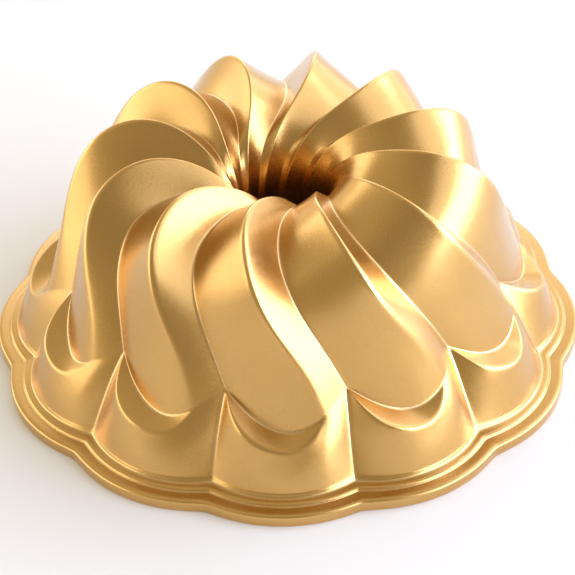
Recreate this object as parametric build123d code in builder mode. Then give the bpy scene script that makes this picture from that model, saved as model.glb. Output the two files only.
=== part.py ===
"""Swirled ring cake pan: an aluminium casting, a lining inside it and a coat outside it.

Units are millimetres and degrees. The pan stands mouth down on its rim: z = 0 is the
rim's resting face, +Z points up, and the origin is on the axis of the tube.
The casting repeats the same unit every 30 degrees, with a rim notch at 0 degrees.
"""

import math
import os

from build123d import *

# Driving dimensions
UNITS = 12
PITCH = 360 / UNITS
WALL = 3.4
COAT = 0.3
LOBE_CENTRE = 14.5
RIM_NOTCH_RADIUS = 125.0
RIM_LOBE_RADIUS = 130.4
RIM_THICKNESS = 5.2
RIM_ROUND = 1.0
BEAD_NOTCH_RADIUS = 119.0
BEAD_LOBE_RADIUS = 124.8
BEAD_HEIGHT = 6.7
BEAD_ROUND = 0.7
TUBE_TIP_HEIGHT = 6.0
TUBE_TIP_RADIUS = 26.0
CORE_RADIUS = 60.0
RINGS = 28

# Lines of one unit as (radius, height, azimuth): from the rim, over the crown, down the tube
RIDGE = [
    (108.0, 0.0, 26.0),
    (106.5, 17.0, 25.2),
    (104.7, 34.6, 24.4),
    (99.8, 50.0, 21.5),
    (94.4, 72.0, 13.5),
    (84.0, 94.0, 6.5),
    (64.3, 104.0, 2.5),
    (43.5, 101.0, 4.0),
    (28.0, 90.5, 18.0),
    (19.5, 73.0, 38.0),
    (17.2, 49.0, 48.0),
    (16.5, 25.0, 53.0),
    (16.0, 0.0, 57.0),
]
VALLEY = [
    (101.0, 0.0, 2.0),
    (98.5, 20.0, 1.5),
    (95.0, 41.3, 1.0),
    (89.5, 58.0, -4.0),
    (82.3, 73.5, -10.0),
    (71.0, 85.0, -14.5),
    (54.0, 89.3, -16.0),
    (36.4, 89.4, -11.0),
    (26.0, 84.0, 3.3),
    (20.1, 68.0, 20.0),
    (18.0, 46.0, 29.0),
    (17.3, 23.0, 33.0),
    (16.8, 0.0, 36.0),
]
SCOOP_SWELL = 4.5
SCOOP_FLAT_FROM = 0.45

# Skirt levels as (height, radius in the crease, radius at the middle of the lobe)
SKIRT = [
    (0.0, 117.0, 123.0),
    (5.0, 115.0, 121.7),
    (17.0, 109.0, 118.0),
    (27.0, 104.0, 114.5),
    (34.0, 100.0, 111.0),
    (41.3, 94.8, 107.0),
]
SKIRT_MOVE_IN = 0.65

# Ledge at the foot of each scoop: (sideways, height) from its left end to its right end
LEDGE = [(-19.7, 41.0), (-12.0, 33.0), (0.0, 28.0), (13.0, 28.2), (20.7, 35.5)]
LEDGE_AZIMUTH = 13.0
LEDGE_RADIUS = 104.0
LEDGE_FALL = 12.0
LEDGE_TOP = 60.0


def at(radius, height, azimuth):
    """Point at a radius, a height and an azimuth."""
    turn = math.radians(azimuth)
    return Vector(radius * math.cos(turn), radius * math.sin(turn), height)


def moved_in(points, inset):
    """Points of a line moved square to its profile, into the metal. Its ends go down too."""
    moved = []
    last = len(points) - 1
    for index, (radius, height, azimuth) in enumerate(points):
        before = points[max(index - 1, 0)]
        after = points[min(index + 1, last)]
        run = math.hypot(after[0] - before[0], after[1] - before[1])
        outward = (after[1] - before[1]) / run
        upward = (before[0] - after[0]) / run
        if index in (0, last):
            outward = math.copysign(1, outward)
            upward = 1
        moved.append((radius - inset * outward, height - inset * upward, azimuth))
    return moved


def swell(first, second, bulge):
    """Middle of two points, pushed away from the axis by the bulge."""
    middle = (first + second) / 2
    return middle + Vector(middle.X, middle.Y, 0).normalized() * bulge


def swirl_ring(ridge, valley, along):
    """Closed ring of scoops and strips at one fraction along the ridge and the valley."""
    high = ridge @ along
    low = valley @ along
    bulge = SCOOP_SWELL * max(0, 1 - along / SCOOP_FLAT_FROM)
    with BuildLine() as ring:
        for unit in range(UNITS):
            start = low.rotate(Axis.Z, unit * PITCH)
            peak = high.rotate(Axis.Z, unit * PITCH)
            end = low.rotate(Axis.Z, (unit + 1) * PITCH)
            Spline(start, swell(start, peak, bulge), peak)
            Spline(peak, swell(peak, end, bulge / 4), end)
    return ring.wire()


def swirl(inset):
    """Volume under the swirled dome, around the bore of the tube."""
    ridge = Spline(*[at(*point) for point in moved_in(RIDGE, inset)], mode=Mode.PRIVATE)
    valley = Spline(*[at(*point) for point in moved_in(VALLEY, inset)], mode=Mode.PRIVATE)
    rings = [swirl_ring(ridge, valley, step / RINGS) for step in range(RINGS + 1)]
    dome = Shell.make_loft(rings)
    base = Face(rings[0], [rings[-1]])
    return Solid(Shell(Face.sew_faces(dome.faces() + [base])[0]))


def lobes(crease_radius, lobe_radius):
    """Closed outline of round lobes that meet in creases."""
    with BuildLine() as outline:
        for unit in range(UNITS):
            turn = unit * PITCH
            ThreePointArc(
                at(crease_radius, 0, turn),
                at(lobe_radius, 0, turn + LOBE_CENTRE),
                at(crease_radius, 0, turn + PITCH),
            )
    return outline.line


def ledge_pocket(inset):
    """Space above one ledge."""
    plane = Plane(
        origin=at(LEDGE_RADIUS, -inset, LEDGE_AZIMUTH),
        x_dir=at(1, 0, LEDGE_AZIMUTH + 90),
        z_dir=at(1, -math.tan(math.radians(LEDGE_FALL)), LEDGE_AZIMUTH),
    )
    with BuildPart() as pocket:
        with BuildSketch(plane):
            with BuildLine():
                floor = Spline(*LEDGE)
                Polyline(floor @ 1, (LEDGE[-1][0], LEDGE_TOP), (LEDGE[0][0], LEDGE_TOP), floor @ 0)
            make_face()
        extrude(amount=30, both=True)
    return pocket.part


def skirt(inset):
    """Lobed volume around the foot of the dome, cut down to the ledges."""
    with BuildPart() as ring:
        for height, crease_radius, lobe_radius in SKIRT:
            with BuildSketch(Plane.XY.offset(height - inset)):
                with BuildLine():
                    move = SKIRT_MOVE_IN * inset
                    add(lobes(crease_radius - move, lobe_radius - move))
                make_face()
        loft()
        with PolarLocations(0, UNITS):
            add(ledge_pocket(inset), mode=Mode.SUBTRACT)
        Cylinder(CORE_RADIUS, 4 * SKIRT[-1][0], mode=Mode.SUBTRACT)
    return ring.part


def rim(grow):
    """Scalloped rim with the bead around the foot of the wall."""
    with BuildPart() as plate:
        with BuildSketch(Plane.XY.offset(grow)):
            with BuildLine():
                add(lobes(RIM_NOTCH_RADIUS + grow, RIM_LOBE_RADIUS + grow))
            make_face()
        extrude(amount=RIM_THICKNESS)
        fillet(plate.faces().sort_by(Axis.Z)[-1].edges(), RIM_ROUND)
        with BuildSketch(Plane.XY.offset(grow)):
            with BuildLine():
                add(lobes(BEAD_NOTCH_RADIUS + grow, BEAD_LOBE_RADIUS + grow))
            make_face()
        extrude(amount=BEAD_HEIGHT)
        fillet(plate.faces().sort_by(Axis.Z)[-1].edges(), BEAD_ROUND)
        Cylinder(CORE_RADIUS, 4 * BEAD_HEIGHT, mode=Mode.SUBTRACT)
    return plate.part


def below(height):
    """Space under a height and around the tip of the tube, where a piece is trimmed."""
    with BuildPart() as trim:
        with Locations((0, 0, height)):
            Box(300, 300, 20, align=(Align.CENTER, Align.CENTER, Align.MAX))
            Cylinder(TUBE_TIP_RADIUS, TUBE_TIP_HEIGHT, align=(Align.CENTER, Align.CENTER, Align.MIN))
    return trim.part


def outside(grow):
    """Everything within the outside of the casting, or within a coat on it."""
    with BuildPart() as volume:
        add(swirl(-grow))
        add(skirt(-grow))
        add(rim(grow))
    return volume.part


def cavity(inset):
    """Space inside the pan, as far down from the outside as the inset."""
    with BuildPart() as volume:
        add(swirl(inset))
        add(skirt(inset))
    return volume.part


os.makedirs("parts", exist_ok=True)

# Casting: swirled dome, lobed skirt and rim as one wall of metal
with BuildPart() as cast_body:
    add(outside(0))
    add(cavity(WALL), mode=Mode.SUBTRACT)
    add(below(0), mode=Mode.SUBTRACT)
cast_body.part.label = "cast_body"
export_step(cast_body.part, "parts/cast_body.step")

# Lining: the coat on the baking surface, drawn thicker than life
with BuildPart() as nonstick_lining:
    add(cavity(WALL))
    add(cavity(WALL + COAT), mode=Mode.SUBTRACT)
    add(below(2 * COAT), mode=Mode.SUBTRACT)
nonstick_lining.part.label = "nonstick_lining"
export_step(nonstick_lining.part, "parts/nonstick_lining.step")

# Finish: the coat on the outside of the casting, drawn thicker than life
with BuildPart() as gold_finish:
    add(outside(COAT))
    add(outside(0), mode=Mode.SUBTRACT)
    add(below(2 * COAT), mode=Mode.SUBTRACT)
gold_finish.part.label = "gold_finish"
export_step(gold_finish.part, "parts/gold_finish.step")
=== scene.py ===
"""Looks of the swirled ring cake pan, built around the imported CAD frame.

The two coats and the casting are rebuilt as smooth cages from the pan's own lines: every unit
of the swirl has one ridge, one valley, one crescent ledge and one skirt lobe. Lengths in the
lists are millimetres and azimuths are degrees, as in the CAD model.
"""

import math

import bpy
import numpy as np
from mathutils import Matrix, Vector


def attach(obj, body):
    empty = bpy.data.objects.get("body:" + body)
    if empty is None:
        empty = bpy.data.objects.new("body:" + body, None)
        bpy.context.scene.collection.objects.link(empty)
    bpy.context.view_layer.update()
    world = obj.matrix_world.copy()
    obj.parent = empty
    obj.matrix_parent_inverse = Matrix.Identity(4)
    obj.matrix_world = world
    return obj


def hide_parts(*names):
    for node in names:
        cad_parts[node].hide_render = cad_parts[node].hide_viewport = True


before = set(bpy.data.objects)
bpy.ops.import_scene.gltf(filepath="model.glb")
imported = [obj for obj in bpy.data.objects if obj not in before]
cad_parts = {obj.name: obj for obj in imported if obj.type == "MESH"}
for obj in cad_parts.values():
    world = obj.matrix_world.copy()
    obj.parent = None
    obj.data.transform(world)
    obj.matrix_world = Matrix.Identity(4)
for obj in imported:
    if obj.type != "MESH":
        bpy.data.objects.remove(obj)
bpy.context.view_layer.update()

MM = 0.001
UNITS = 12
PITCH = 360 / UNITS
WALL = 3.4
COAT = 0.3

# Lines of one unit as (radius, height, azimuth), from the ledge over the crown to the tube's tip
RIDGE = [
    (104.7, 34.6, 24.4), (99.8, 50.0, 21.5), (94.4, 72.0, 13.5), (84.0, 94.0, 6.5),
    (64.3, 104.0, 2.5), (43.5, 101.0, 4.0), (28.0, 90.5, 18.0), (19.5, 73.0, 38.0),
    (17.2, 49.0, 48.0), (16.5, 25.0, 53.0), (16.1, 6.0, 56.0),
]
VALLEY = [
    (95.0, 41.3, 1.0), (89.5, 58.0, -4.0), (82.3, 73.5, -10.0), (71.0, 85.0, -14.5),
    (54.0, 89.3, -16.0), (36.4, 89.4, -11.0), (26.0, 84.0, 3.3), (20.1, 68.0, 20.0),
    (18.0, 46.0, 29.0), (17.3, 23.0, 33.0), (16.9, 6.0, 35.0),
]
LEDGE_INNER = [
    (95.0, 41.3, 1.0), (101.0, 33.3, 7.8), (104.3, 28.9, 13.7), (106.0, 29.8, 19.5),
    (104.7, 34.6, 24.4),
]
LEDGE_OUTER = [
    (95.0, 41.3, 1.0), (108.7, 33.0, 5.4), (114.6, 27.0, 12.8), (112.2, 26.6, 20.2),
    (104.7, 34.6, 24.4),
]
# Skirt levels as (height, radius in the crease, radius at the middle of the lobe)
SKIRT = [
    (0.0, 117.0, 123.0), (5.0, 115.0, 121.7), (17.0, 109.0, 118.0),
    (27.0, 104.0, 114.5), (34.0, 100.0, 111.0), (41.3, 94.8, 107.0),
]
SKIRT_MOVE_IN = 0.65
SCOOP_SWELL = 4.5
SCOOP_FLAT_FROM = 0.45
STRIP_SWELL = 0.2

# Half widths of the rounded edges
RIDGE_ROUND = 3.8
VALLEY_ROUND = 1.2
LEDGE_INNER_ROUND = 1.2
LEDGE_OUTER_ROUND = 2.2
EDGE_MOST = 0.34
LEDGE_INNER_MOST = 0.25
LEDGE_OUTER_MOST = 0.3

# The edges get finer toward the tube: from this fraction of the lines, over this much, by this much
FINER_FROM = 0.35
FINER_OVER = 0.35
FINER_BY = 0.75
CREASE_LEAST = 0.3

# Fraction of the lines over which the foot of the scoop runs into the ledge
LEDGE_BLEND = 0.2
# Azimuth in a unit at which the scoop's columns end at the foot of the skirt
SKIRT_SPLIT = 22.5
# Softening of the creases between lobes, on the bead and outside it
BEAD_SOFT = 0.25
FLANGE_SOFT = 0.8
FLANGE_FROM = 125.5
# The casting lies this far inside its coats
CASTING_INSET = 0.05

# Rim rows from the foot of the wall outwards: (height, crease radius, lobe radius)
FOOT = [
    (8.6, 113.4, 120.75), (7.4, 114.1, 121.2), (6.85, 115.0, 121.9), (6.7, 116.8, 123.0),
    (6.6, 118.2, 124.2), (6.1, 118.9, 124.75), (5.5, 119.0, 124.85), (5.25, 119.3, 125.2),
    (5.2, 120.5, 126.2), (5.2, 122.8, 128.3), (5.1, 124.1, 129.6), (4.65, 124.8, 130.2),
    (3.9, 124.94, 130.33), (0.7, 124.94, 130.33), (0.12, 124.75, 130.14),
]


def smooth_line(points, fractions):
    """Natural cubic spline through points (n, 3), read at fractions of its chord length."""
    points = np.asarray(points, float)
    chord = np.linalg.norm(np.diff(points, axis=0), axis=1)
    knots = np.concatenate([[0], np.cumsum(chord)]) / chord.sum()
    step = np.diff(knots)
    count = len(points)
    system = np.eye(count)
    target = np.zeros((count, 3))
    for i in range(1, count - 1):
        system[i, i - 1:i + 2] = step[i - 1], 2 * (step[i - 1] + step[i]), step[i]
        slope_after = (points[i + 1] - points[i]) / step[i]
        slope_before = (points[i] - points[i - 1]) / step[i - 1]
        target[i] = 6 * (slope_after - slope_before)
    bend = np.linalg.solve(system, target)
    fractions = np.clip(np.asarray(fractions, float), 0, 1)
    left = np.clip(np.searchsorted(knots, fractions, side="right") - 1, 0, count - 2)
    h = step[left][:, None]
    a = ((knots[left + 1] - fractions) / step[left])[:, None]
    b = 1 - a
    return (a * points[left] + b * points[left + 1]
            + ((a**3 - a) * bend[left] + (b**3 - b) * bend[left + 1]) * h**2 / 6)


def polar(rows):
    """(radius, height, azimuth) rows as points."""
    rows = np.asarray(rows, float)
    turn = np.radians(rows[..., 2])
    return np.stack([rows[..., 0] * np.cos(turn), rows[..., 0] * np.sin(turn), rows[..., 1]], -1)


def moved_in(rows, inset):
    """Rows of a line moved square to its profile, into the metal."""
    rows = np.asarray(rows, float)
    run = np.gradient(rows[:, :2], axis=0)
    run /= np.linalg.norm(run, axis=1)[:, None]
    moved = rows.copy()
    moved[:, 0] -= inset * run[:, 1]
    moved[:, 1] += inset * run[:, 0]
    return moved


def lobe_arc(crease, middle, azimuth, soft=BEAD_SOFT):
    """Radius of round lobes with the crease and middle radii, softened in the creases."""
    half = math.radians(PITCH / 2)
    rise = middle - crease * math.cos(half)
    round_radius = ((crease * math.sin(half))**2 + rise**2) / (2 * rise)
    centre = middle - round_radius

    def circle(off):
        side = centre * np.sin(np.radians(off))
        return centre * np.cos(np.radians(off)) + np.sqrt(np.maximum(round_radius**2 - side**2, 0))

    off = np.mod(azimuth, PITCH) - PITCH / 2
    mine = circle(off)
    other = circle(np.abs(off) - PITCH)
    return (mine + other + np.sqrt((mine - other)**2 + 4 * soft**2)) / 2


def skirt_radius(height, azimuth, inset):
    """Radius of the lobed skirt at a height and an azimuth, moved into the metal."""
    levels = np.asarray(SKIRT, float)
    crease = np.interp(height + inset, levels[:, 0], levels[:, 1])
    middle = np.interp(height + inset, levels[:, 0], levels[:, 2])
    return lobe_arc(crease, middle, azimuth) - SKIRT_MOVE_IN * inset


def cylinder(points):
    """Points as (radius, height, azimuth) with the azimuth kept within one turn of zero."""
    radius = np.hypot(points[..., 0], points[..., 1])
    azimuth = np.degrees(np.arctan2(points[..., 1], points[..., 0]))
    return np.stack([radius, points[..., 2], azimuth], -1)


# Columns of one unit: the scoop from the valley to the ridge, then the strip to the next valley
SCOOP_COLUMNS = 9
STRIP_COLUMNS = 6
UNIT_COLUMNS = SCOOP_COLUMNS + STRIP_COLUMNS
UPPER_ROWS = [0, 0.0045, 0.016, 0.035, 0.06, 0.09]
UPPER_ROWS += [0.125 + 0.036 * k for k in range(24)]
UPPER_ROWS += [0.985, 1]
SKIRT_ROWS = [0, 0.11, 0.24, 0.4, 0.58, 0.78, 0.93, 1]


def across(width, start_round, end_round, count):
    """Fractions across a face of that width, with a column close to each rounded edge."""
    first = min(start_round / width, EDGE_MOST)
    last = 1 - min(end_round / width, EDGE_MOST)
    return np.concatenate([[0], np.linspace(first, last, count - 1), [1]])


def face_row(start, end, fractions, swell):
    """Points from start to end, swelling away from the chord by the swell vector."""
    f = fractions[:, None]
    return start * (1 - f) + end * f + swell * 4 * f * (1 - f)


def profile_normal(line, index):
    """Outward direction square to a line's profile, as a radial and an upward part."""
    radius = np.hypot(line[:, 0], line[:, 1])
    run = np.array([np.gradient(radius)[index], np.gradient(line[:, 2])[index]])
    run /= np.linalg.norm(run)
    return run[1], -run[0]


def turned(points, azimuth):
    """Points turned about the axis."""
    c, s = math.cos(math.radians(azimuth)), math.sin(math.radians(azimuth))
    return np.stack([points[..., 0] * c - points[..., 1] * s,
                     points[..., 0] * s + points[..., 1] * c, points[..., 2]], -1)


def unit_upper(inset):
    """Upper rows of one unit: (rows, UNIT_COLUMNS + 1, 3), from the ledge to the tube's tip."""
    ridge = smooth_line(polar(moved_in(RIDGE, inset)), UPPER_ROWS)
    valley = smooth_line(polar(moved_in(VALLEY, inset)), UPPER_ROWS)
    ledge = np.asarray(LEDGE_INNER, float) - [SKIRT_MOVE_IN * inset, inset, 0]
    rows = []
    for i, along in enumerate(UPPER_ROWS):
        low, high, end = valley[i], ridge[i], turned(valley[i], PITCH)
        out, up = profile_normal(ridge, i)
        bulge = SCOOP_SWELL * max(0, 1 - along / SCOOP_FLAT_FROM)
        middle = (low + high) / 2
        radial = np.array([middle[0], middle[1], 0]) / np.hypot(middle[0], middle[1])
        swell = (radial * out + np.array([0, 0, up])) * bulge
        finer = 1 - FINER_BY * min(1, max(0, (along - FINER_FROM) / FINER_OVER))
        edge = RIDGE_ROUND * finer
        crease = VALLEY_ROUND * (CREASE_LEAST + (1 - CREASE_LEAST) * finer)
        scoop_s = across(np.linalg.norm(high - low), crease, edge, SCOOP_COLUMNS)
        strip_s = across(np.linalg.norm(end - high), edge, crease, STRIP_COLUMNS)
        scoop = face_row(low, high, scoop_s, swell)
        strip = face_row(high, end, strip_s, swell * STRIP_SWELL)
        if i == 0:
            foot = smooth_line(polar(ledge), scoop_s)
            f = scoop_s[:, None]
            foot += (low - foot[0]) * (1 - f) + (high - foot[-1]) * f
            reach = foot - scoop
        fade = max(0, 1 - along / LEDGE_BLEND)**2
        scoop = scoop + reach * fade
        rows.append(np.concatenate([scoop, strip[1:]]))
    return np.array(rows)


def unit_lower(inset, top_row):
    """Ledge rows and skirt rows of one unit below its upper rows."""
    outer = np.asarray(LEDGE_OUTER, float)
    outer = outer - [SKIRT_MOVE_IN * inset, inset, 0]
    inner_edge = top_row[:SCOOP_COLUMNS + 1]
    f = np.linspace(0, 1, SCOOP_COLUMNS + 1)
    outer_edge = smooth_line(polar(outer), f)
    outer_edge += (inner_edge[0] - outer_edge[0]) * (1 - f[:, None])**4
    outer_edge += (inner_edge[-1] - outer_edge[-1]) * f[:, None]**4
    ledge = []
    width = np.linalg.norm(outer_edge - inner_edge, axis=1)[:, None]
    near = np.minimum(LEDGE_INNER_ROUND / np.maximum(width, 1e-6), LEDGE_INNER_MOST)
    far = 1 - np.minimum(LEDGE_OUTER_ROUND / np.maximum(width, 1e-6), LEDGE_OUTER_MOST)
    for place in (near, (near + far) / 2, far, np.ones_like(near)):
        ledge.append(inner_edge * (1 - place) + outer_edge * place)
    top = cylinder(np.concatenate([outer_edge, top_row[SCOOP_COLUMNS + 1:]]))
    edge = VALLEY_ROUND * 0.5
    base_azimuth = np.concatenate([
        [0], np.linspace(edge, SKIRT_SPLIT, SCOOP_COLUMNS),
        np.linspace(SKIRT_SPLIT, PITCH - edge, STRIP_COLUMNS)[1:], [PITCH]])
    base_height = FOOT[0][0] - inset
    proud = top[:, 0] - skirt_radius(top[:, 1], top[:, 2], inset)
    skirt = []
    for v in SKIRT_ROWS:
        azimuth = top[:, 2] + (base_azimuth - top[:, 2]) * v
        height = top[:, 1] + (base_height - top[:, 1]) * v
        radius = skirt_radius(height, azimuth, inset) + proud * (1 - v)**2
        skirt.append(polar(np.stack([radius, height, azimuth], -1)))
    return np.array(ledge), np.array(skirt), base_azimuth


def rim_rows(rows, grow, azimuths):
    """Rim rows of one unit, grown square to their profile."""
    rows = np.asarray(rows, float)
    run = np.gradient(rows[:, :2], axis=0)
    run /= np.linalg.norm(run, axis=1)[:, None]
    result = []
    for (height, crease, middle), (rise, out) in zip(rows, run):
        soft = BEAD_SOFT if middle < FLANGE_FROM else FLANGE_SOFT
        radius = lobe_arc(crease, middle, azimuths, soft)
        result.append(polar(np.stack([
            radius - grow * rise, np.full_like(radius, height + grow * out), azimuths], -1)))
    return np.array(result)


class Skin:
    """One open skin of the pan: its points, its faces and its two end rings."""

    def __init__(self, inset, base_rows):
        """base_rows maps the azimuths of one unit to the rows below the skirt."""
        self.points = []
        self.faces = []
        upper = unit_upper(inset)
        ledge, skirt, azimuths = unit_lower(inset, upper[0])
        base = base_rows(azimuths)
        rings = [self.ring(row) for row in upper]
        shelf = [self.ring(row, range(1, SCOOP_COLUMNS)) for row in ledge]
        top = dict(rings[0])
        top.update(shelf[-1])
        lower = [top] + [self.ring(row) for row in skirt[1:]] + [self.ring(row) for row in base]
        for row in shelf:
            for key in rings[0]:
                row.setdefault(key, rings[0][key])
        for first, second in zip(rings, rings[1:]):
            self.band(second, first, range(UNIT_COLUMNS))
        for first, second in zip([rings[0]] + shelf, shelf):
            self.band(first, second, range(SCOOP_COLUMNS))
        for first, second in zip(lower, lower[1:]):
            self.band(first, second, range(UNIT_COLUMNS))
        self.tip = rings[-1]
        self.end = lower[-1]
        self.points = np.array(self.points)

    def ring(self, row, columns=range(UNIT_COLUMNS)):
        """Adds a row of one unit to every unit and returns its points' numbers."""
        numbers = {}
        for unit in range(UNITS):
            for column in columns:
                numbers[unit, column] = len(self.points)
                self.points.append(turned(row[column], unit * PITCH))
        return numbers

    def band(self, first, second, columns):
        """Faces between two rings over these columns of every unit."""
        for unit in range(UNITS):
            for column in columns:
                here = (unit, column)
                last = column + 1 == UNIT_COLUMNS
                following = ((unit + 1) % UNITS, 0) if last else (unit, column + 1)
                corners = [first[here], second[here], second[following], first[following]]
                self.faces.append(list(dict.fromkeys(corners)))


def closed_piece(name, outer, inner):
    """Closed mesh from an outer skin and an inner skin joined along their end rings."""
    shift = len(outer.points)
    points = np.concatenate([outer.points, inner.points]) * MM
    faces = outer.faces + [[shift + v for v in reversed(face)] for face in inner.faces]
    order = [(unit, column) for unit in range(UNITS) for column in range(UNIT_COLUMNS)]
    for here, following in zip(order, order[1:] + order[:1]):
        faces.append([outer.end[here], shift + inner.end[here],
                      shift + inner.end[following], outer.end[following]])
        faces.append([outer.tip[following], shift + inner.tip[following],
                      shift + inner.tip[here], outer.tip[here]])
    mesh = bpy.data.meshes.new(name)
    mesh.from_pydata(points.tolist(), [], faces)
    mesh.polygons.foreach_set("use_smooth", [True] * len(faces))
    piece = bpy.data.objects.new(name, mesh)
    bpy.context.scene.collection.objects.link(piece)
    rounding = piece.modifiers.new("rounding", "SUBSURF")
    rounding.levels = 2
    rounding.render_levels = 2
    return piece


def outside_base(grow):
    """Rows of the foot and the rim on the outside."""
    return lambda azimuths: rim_rows(FOOT, grow, azimuths)


def inside_base(inset, lowest):
    """Rows of the inside of the wall down to the rim's resting face."""
    def rows(azimuths):
        result = []
        for height in (FOOT[0][0] - inset - 1.5, 1.2, lowest + 0.3, lowest):
            radius = skirt_radius(height, azimuths, inset)
            result.append(polar(np.stack([radius, np.full_like(radius, height), azimuths], -1)))
        return result
    return rows


finish = closed_piece("gold_coat", Skin(-COAT, outside_base(COAT)), Skin(0, outside_base(0)))
lining = closed_piece(
    "baking_surface",
    Skin(WALL, inside_base(WALL, 0.1)),
    Skin(WALL + COAT, inside_base(WALL + COAT, 0.1)))
casting_inside = WALL - CASTING_INSET
casting = closed_piece(
    "casting",
    Skin(CASTING_INSET, outside_base(-CASTING_INSET)),
    Skin(casting_inside, inside_base(casting_inside, 0.0)))
for piece, node, slot in (
        (finish, "gold_finish", "gold_coat"),
        (lining, "nonstick_lining", "lining"),
        (casting, "cast_body", "casting")):
    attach(piece, "root")
    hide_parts(node)


def satin(name, colour, tint, roughness, grain, coat):
    """Satin metal: a fine flake, a slow drift of tone and gloss, and painted highlights that make
    the colour lighter on the sharp edges and in the creases.
    """
    material = bpy.data.materials.new(name)
    material.use_nodes = True
    nodes, links = material.node_tree.nodes, material.node_tree.links
    shader = nodes["Principled BSDF"]
    shader.inputs["Metallic"].default_value = 1.0
    shader.inputs["Coat Weight"].default_value = coat
    shader.inputs["Coat Roughness"].default_value = 0.22
    place = nodes.new("ShaderNodeTexCoord")

    def noise(scale, detail, roughness):
        node = nodes.new("ShaderNodeTexNoise")
        node.inputs["Scale"].default_value = scale
        node.inputs["Detail"].default_value = detail
        node.inputs["Roughness"].default_value = roughness
        links.new(place.outputs["Object"], node.inputs["Vector"])
        return node.outputs["Fac"]

    def ramp(value, low, high, start, end):
        node = nodes.new("ShaderNodeMapRange")
        node.inputs["From Min"].default_value = low
        node.inputs["From Max"].default_value = high
        node.inputs["To Min"].default_value = start
        node.inputs["To Max"].default_value = end
        links.new(value, node.inputs["Value"])
        return node.outputs["Result"]

    def mixed(amount, first, second):
        node = nodes.new("ShaderNodeMix")
        node.data_type = "RGBA"
        links.new(amount, node.inputs["Factor"])
        for socket, value in ((node.inputs["A"], first), (node.inputs["B"], second)):
            if isinstance(value, tuple):
                socket.default_value = (*value, 1)
            else:
                links.new(value, socket)
        return node.outputs["Result"]

    def total(*values):
        result = values[0]
        for value in values[1:]:
            node = nodes.new("ShaderNodeMath")
            node.operation = "ADD"
            links.new(result, node.inputs[0])
            links.new(value, node.inputs[1])
            result = node.outputs["Value"]
        return result

    drift = noise(16, 2, 0.5)
    cloud = noise(60, 2, 0.5)
    flake = noise(3000, 2, 0.6)
    sharp = nodes.new("ShaderNodeNewGeometry").outputs["Pointiness"]

    body = mixed(ramp(drift, 0.35, 0.65, 0, 1), colour, tint)
    speckle = tuple(min(1.0, c * 1.3 + 0.02) for c in colour)
    body = mixed(ramp(flake, 0.55, 0.75, 0, 0.55), body, speckle)
    # Painted highlight: the colour is lighter on sharp convex edges (high pointiness), standing in
    # for the light along the rounded ridges.
    painted_edge_highlight = tuple(min(1.0, c * 1.25 + 0.03) for c in colour)
    body = mixed(ramp(sharp, 0.505, 0.525, 0, 0.7), body, painted_edge_highlight)
    # Painted highlight: the colour is lighter in concave creases (low pointiness), standing in for
    # a thin bright line of light along each crease.
    painted_crease_highlight = tuple(min(1.0, c * 1.15 + 0.3) for c in colour)
    body = mixed(ramp(sharp, 0.494, 0.484, 0, 0.42), body, painted_crease_highlight)
    links.new(body, shader.inputs["Base Color"])

    gloss = total(ramp(cloud, 0.3, 0.7, roughness - 0.025, roughness + 0.025),
                  ramp(flake, 0.3, 0.7, 0.03, -0.03), ramp(sharp, 0.505, 0.53, 0, -0.04))
    links.new(gloss, shader.inputs["Roughness"])

    bump = nodes.new("ShaderNodeBump")
    bump.inputs["Strength"].default_value = grain
    bump.inputs["Distance"].default_value = 0.00012
    links.new(flake, bump.inputs["Height"])
    links.new(bump.outputs["Normal"], shader.inputs["Normal"])
    return material


finish.data.materials.append(satin(
    "satin_gold", (0.64, 0.376, 0.106), (0.61, 0.351, 0.094), roughness=0.26, grain=0.22, coat=0.8))
lining.data.materials.append(satin(
    "lining_gold", (0.52, 0.33, 0.13), (0.49, 0.30, 0.11), roughness=0.42, grain=0.35, coat=0.25))
casting.data.materials.append(satin(
    "cast_aluminium", (0.62, 0.62, 0.63), (0.56, 0.56, 0.57), roughness=0.5, grain=0.9, coat=0.0))

# Floor
bpy.ops.mesh.primitive_plane_add(size=16, location=(0, 0, 0))
floor = bpy.context.object
floor.name = "floor"
paint = bpy.data.materials.new("floor_paint")
paint.use_nodes = True
paint_shader = paint.node_tree.nodes["Principled BSDF"]
paint_shader.inputs["Base Color"].default_value = (0.9, 0.9, 0.9, 1)
paint_shader.inputs["Roughness"].default_value = 0.8
floor.data.materials.append(paint)


def area_light(name, azimuth, elevation, distance, width, height, power, colour):
    """Soft box that faces the pan from a direction."""
    data = bpy.data.lights.new(name, "AREA")
    data.shape = "RECTANGLE"
    data.size = width
    data.size_y = height
    data.energy = power
    data.color = colour
    light = bpy.data.objects.new(name, data)
    bpy.context.scene.collection.objects.link(light)
    a, e = math.radians(azimuth), math.radians(elevation)
    place = Vector((math.cos(e) * math.cos(a), math.cos(e) * math.sin(a), math.sin(e))) * distance
    light.location = place + Vector((0, 0, 0.05))
    light.rotation_euler = place.to_track_quat("Z", "Y").to_euler()


# Camera: placed and turned by its direction from the pan
CAMERA_AZIMUTH = -73.21
CAMERA_ELEVATION = 38.81
CAMERA_ROLL = -1.64
CAMERA_DISTANCE = 0.9873
CAMERA_LENS = 136.4
AIM_RIGHT = 0.0006
AIM_UP = 0.0172

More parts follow.
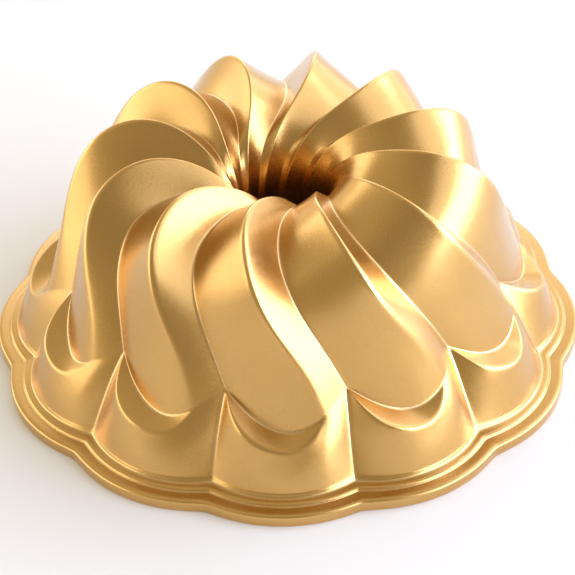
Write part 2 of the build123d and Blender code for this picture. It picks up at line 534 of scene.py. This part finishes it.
camera_data = bpy.data.cameras.new("camera")
camera_data.lens = CAMERA_LENS
camera_data.sensor_width = 36
camera_data.clip_start = 0.05
camera = bpy.data.objects.new("camera", camera_data)
bpy.context.scene.collection.objects.link(camera)
turn, rise = math.radians(CAMERA_AZIMUTH), math.radians(CAMERA_ELEVATION)
back = Vector((math.cos(rise) * math.cos(turn), math.cos(rise) * math.sin(turn), math.sin(rise)))
right = Vector((-math.sin(turn), math.cos(turn), 0))
above = back.cross(right)
aim = right * AIM_RIGHT + above * AIM_UP
place = back * CAMERA_DISTANCE
look = (place - aim).to_track_quat("Z", "Y").to_matrix().to_4x4()
roll = Matrix.Rotation(math.radians(CAMERA_ROLL), 4, "Z")
camera.matrix_world = Matrix.Translation(place) @ look @ roll
bpy.context.scene.camera = camera

# Studio: soft boxes and a warm surround that is dimmest toward one fixed direction
world = bpy.data.worlds.new("studio")
bpy.context.scene.world = world
world.use_nodes = True
surround, wires = world.node_tree.nodes, world.node_tree.links
facing = surround.new("ShaderNodeVectorMath")
facing.operation = "DOT_PRODUCT"
facing.inputs[1].default_value = back
wires.new(surround.new("ShaderNodeTexCoord").outputs["Generated"], facing.inputs[0])
glow = surround.new("ShaderNodeMath")
glow.operation = "ADD"
for socket, start, stop, low, high in ((0, -0.8, 0.1, 1.38, 0.58), (1, 0.6, 1.0, 0.06, -0.17)):
    share = surround.new("ShaderNodeMapRange")
    share.inputs["From Min"].default_value = start
    share.inputs["From Max"].default_value = stop
    share.inputs["To Min"].default_value = low
    share.inputs["To Max"].default_value = high
    wires.new(facing.outputs["Value"], share.inputs["Value"])
    wires.new(share.outputs["Result"], glow.inputs[socket])
wires.new(glow.outputs["Value"], surround["Background"].inputs["Strength"])
surround["Background"].inputs["Color"].default_value = (1.0, 0.89, 0.66, 1)

COOL = (0.92, 1.0, 1.34)
area_light("key", CAMERA_AZIMUTH + 78, 16, 1.6, 2.3, 0.86, 30, COOL)
area_light("key_top", CAMERA_AZIMUTH + 78, 46, 1.6, 2.3, 0.86, 6, COOL)
area_light("rear_key", CAMERA_AZIMUTH + 132, 31, 1.6, 1.04, 1.85, 5.8, COOL)
area_light("back", CAMERA_AZIMUTH + 180, 20, 1.6, 1.04, 0.86, 3.6, COOL)
area_light("fill", CAMERA_AZIMUTH - 93, 15, 1.6, 2.3, 0.86, 9, (1.0, 1.0, 1.0))
bpy.context.scene.view_settings.view_transform = "Standard"
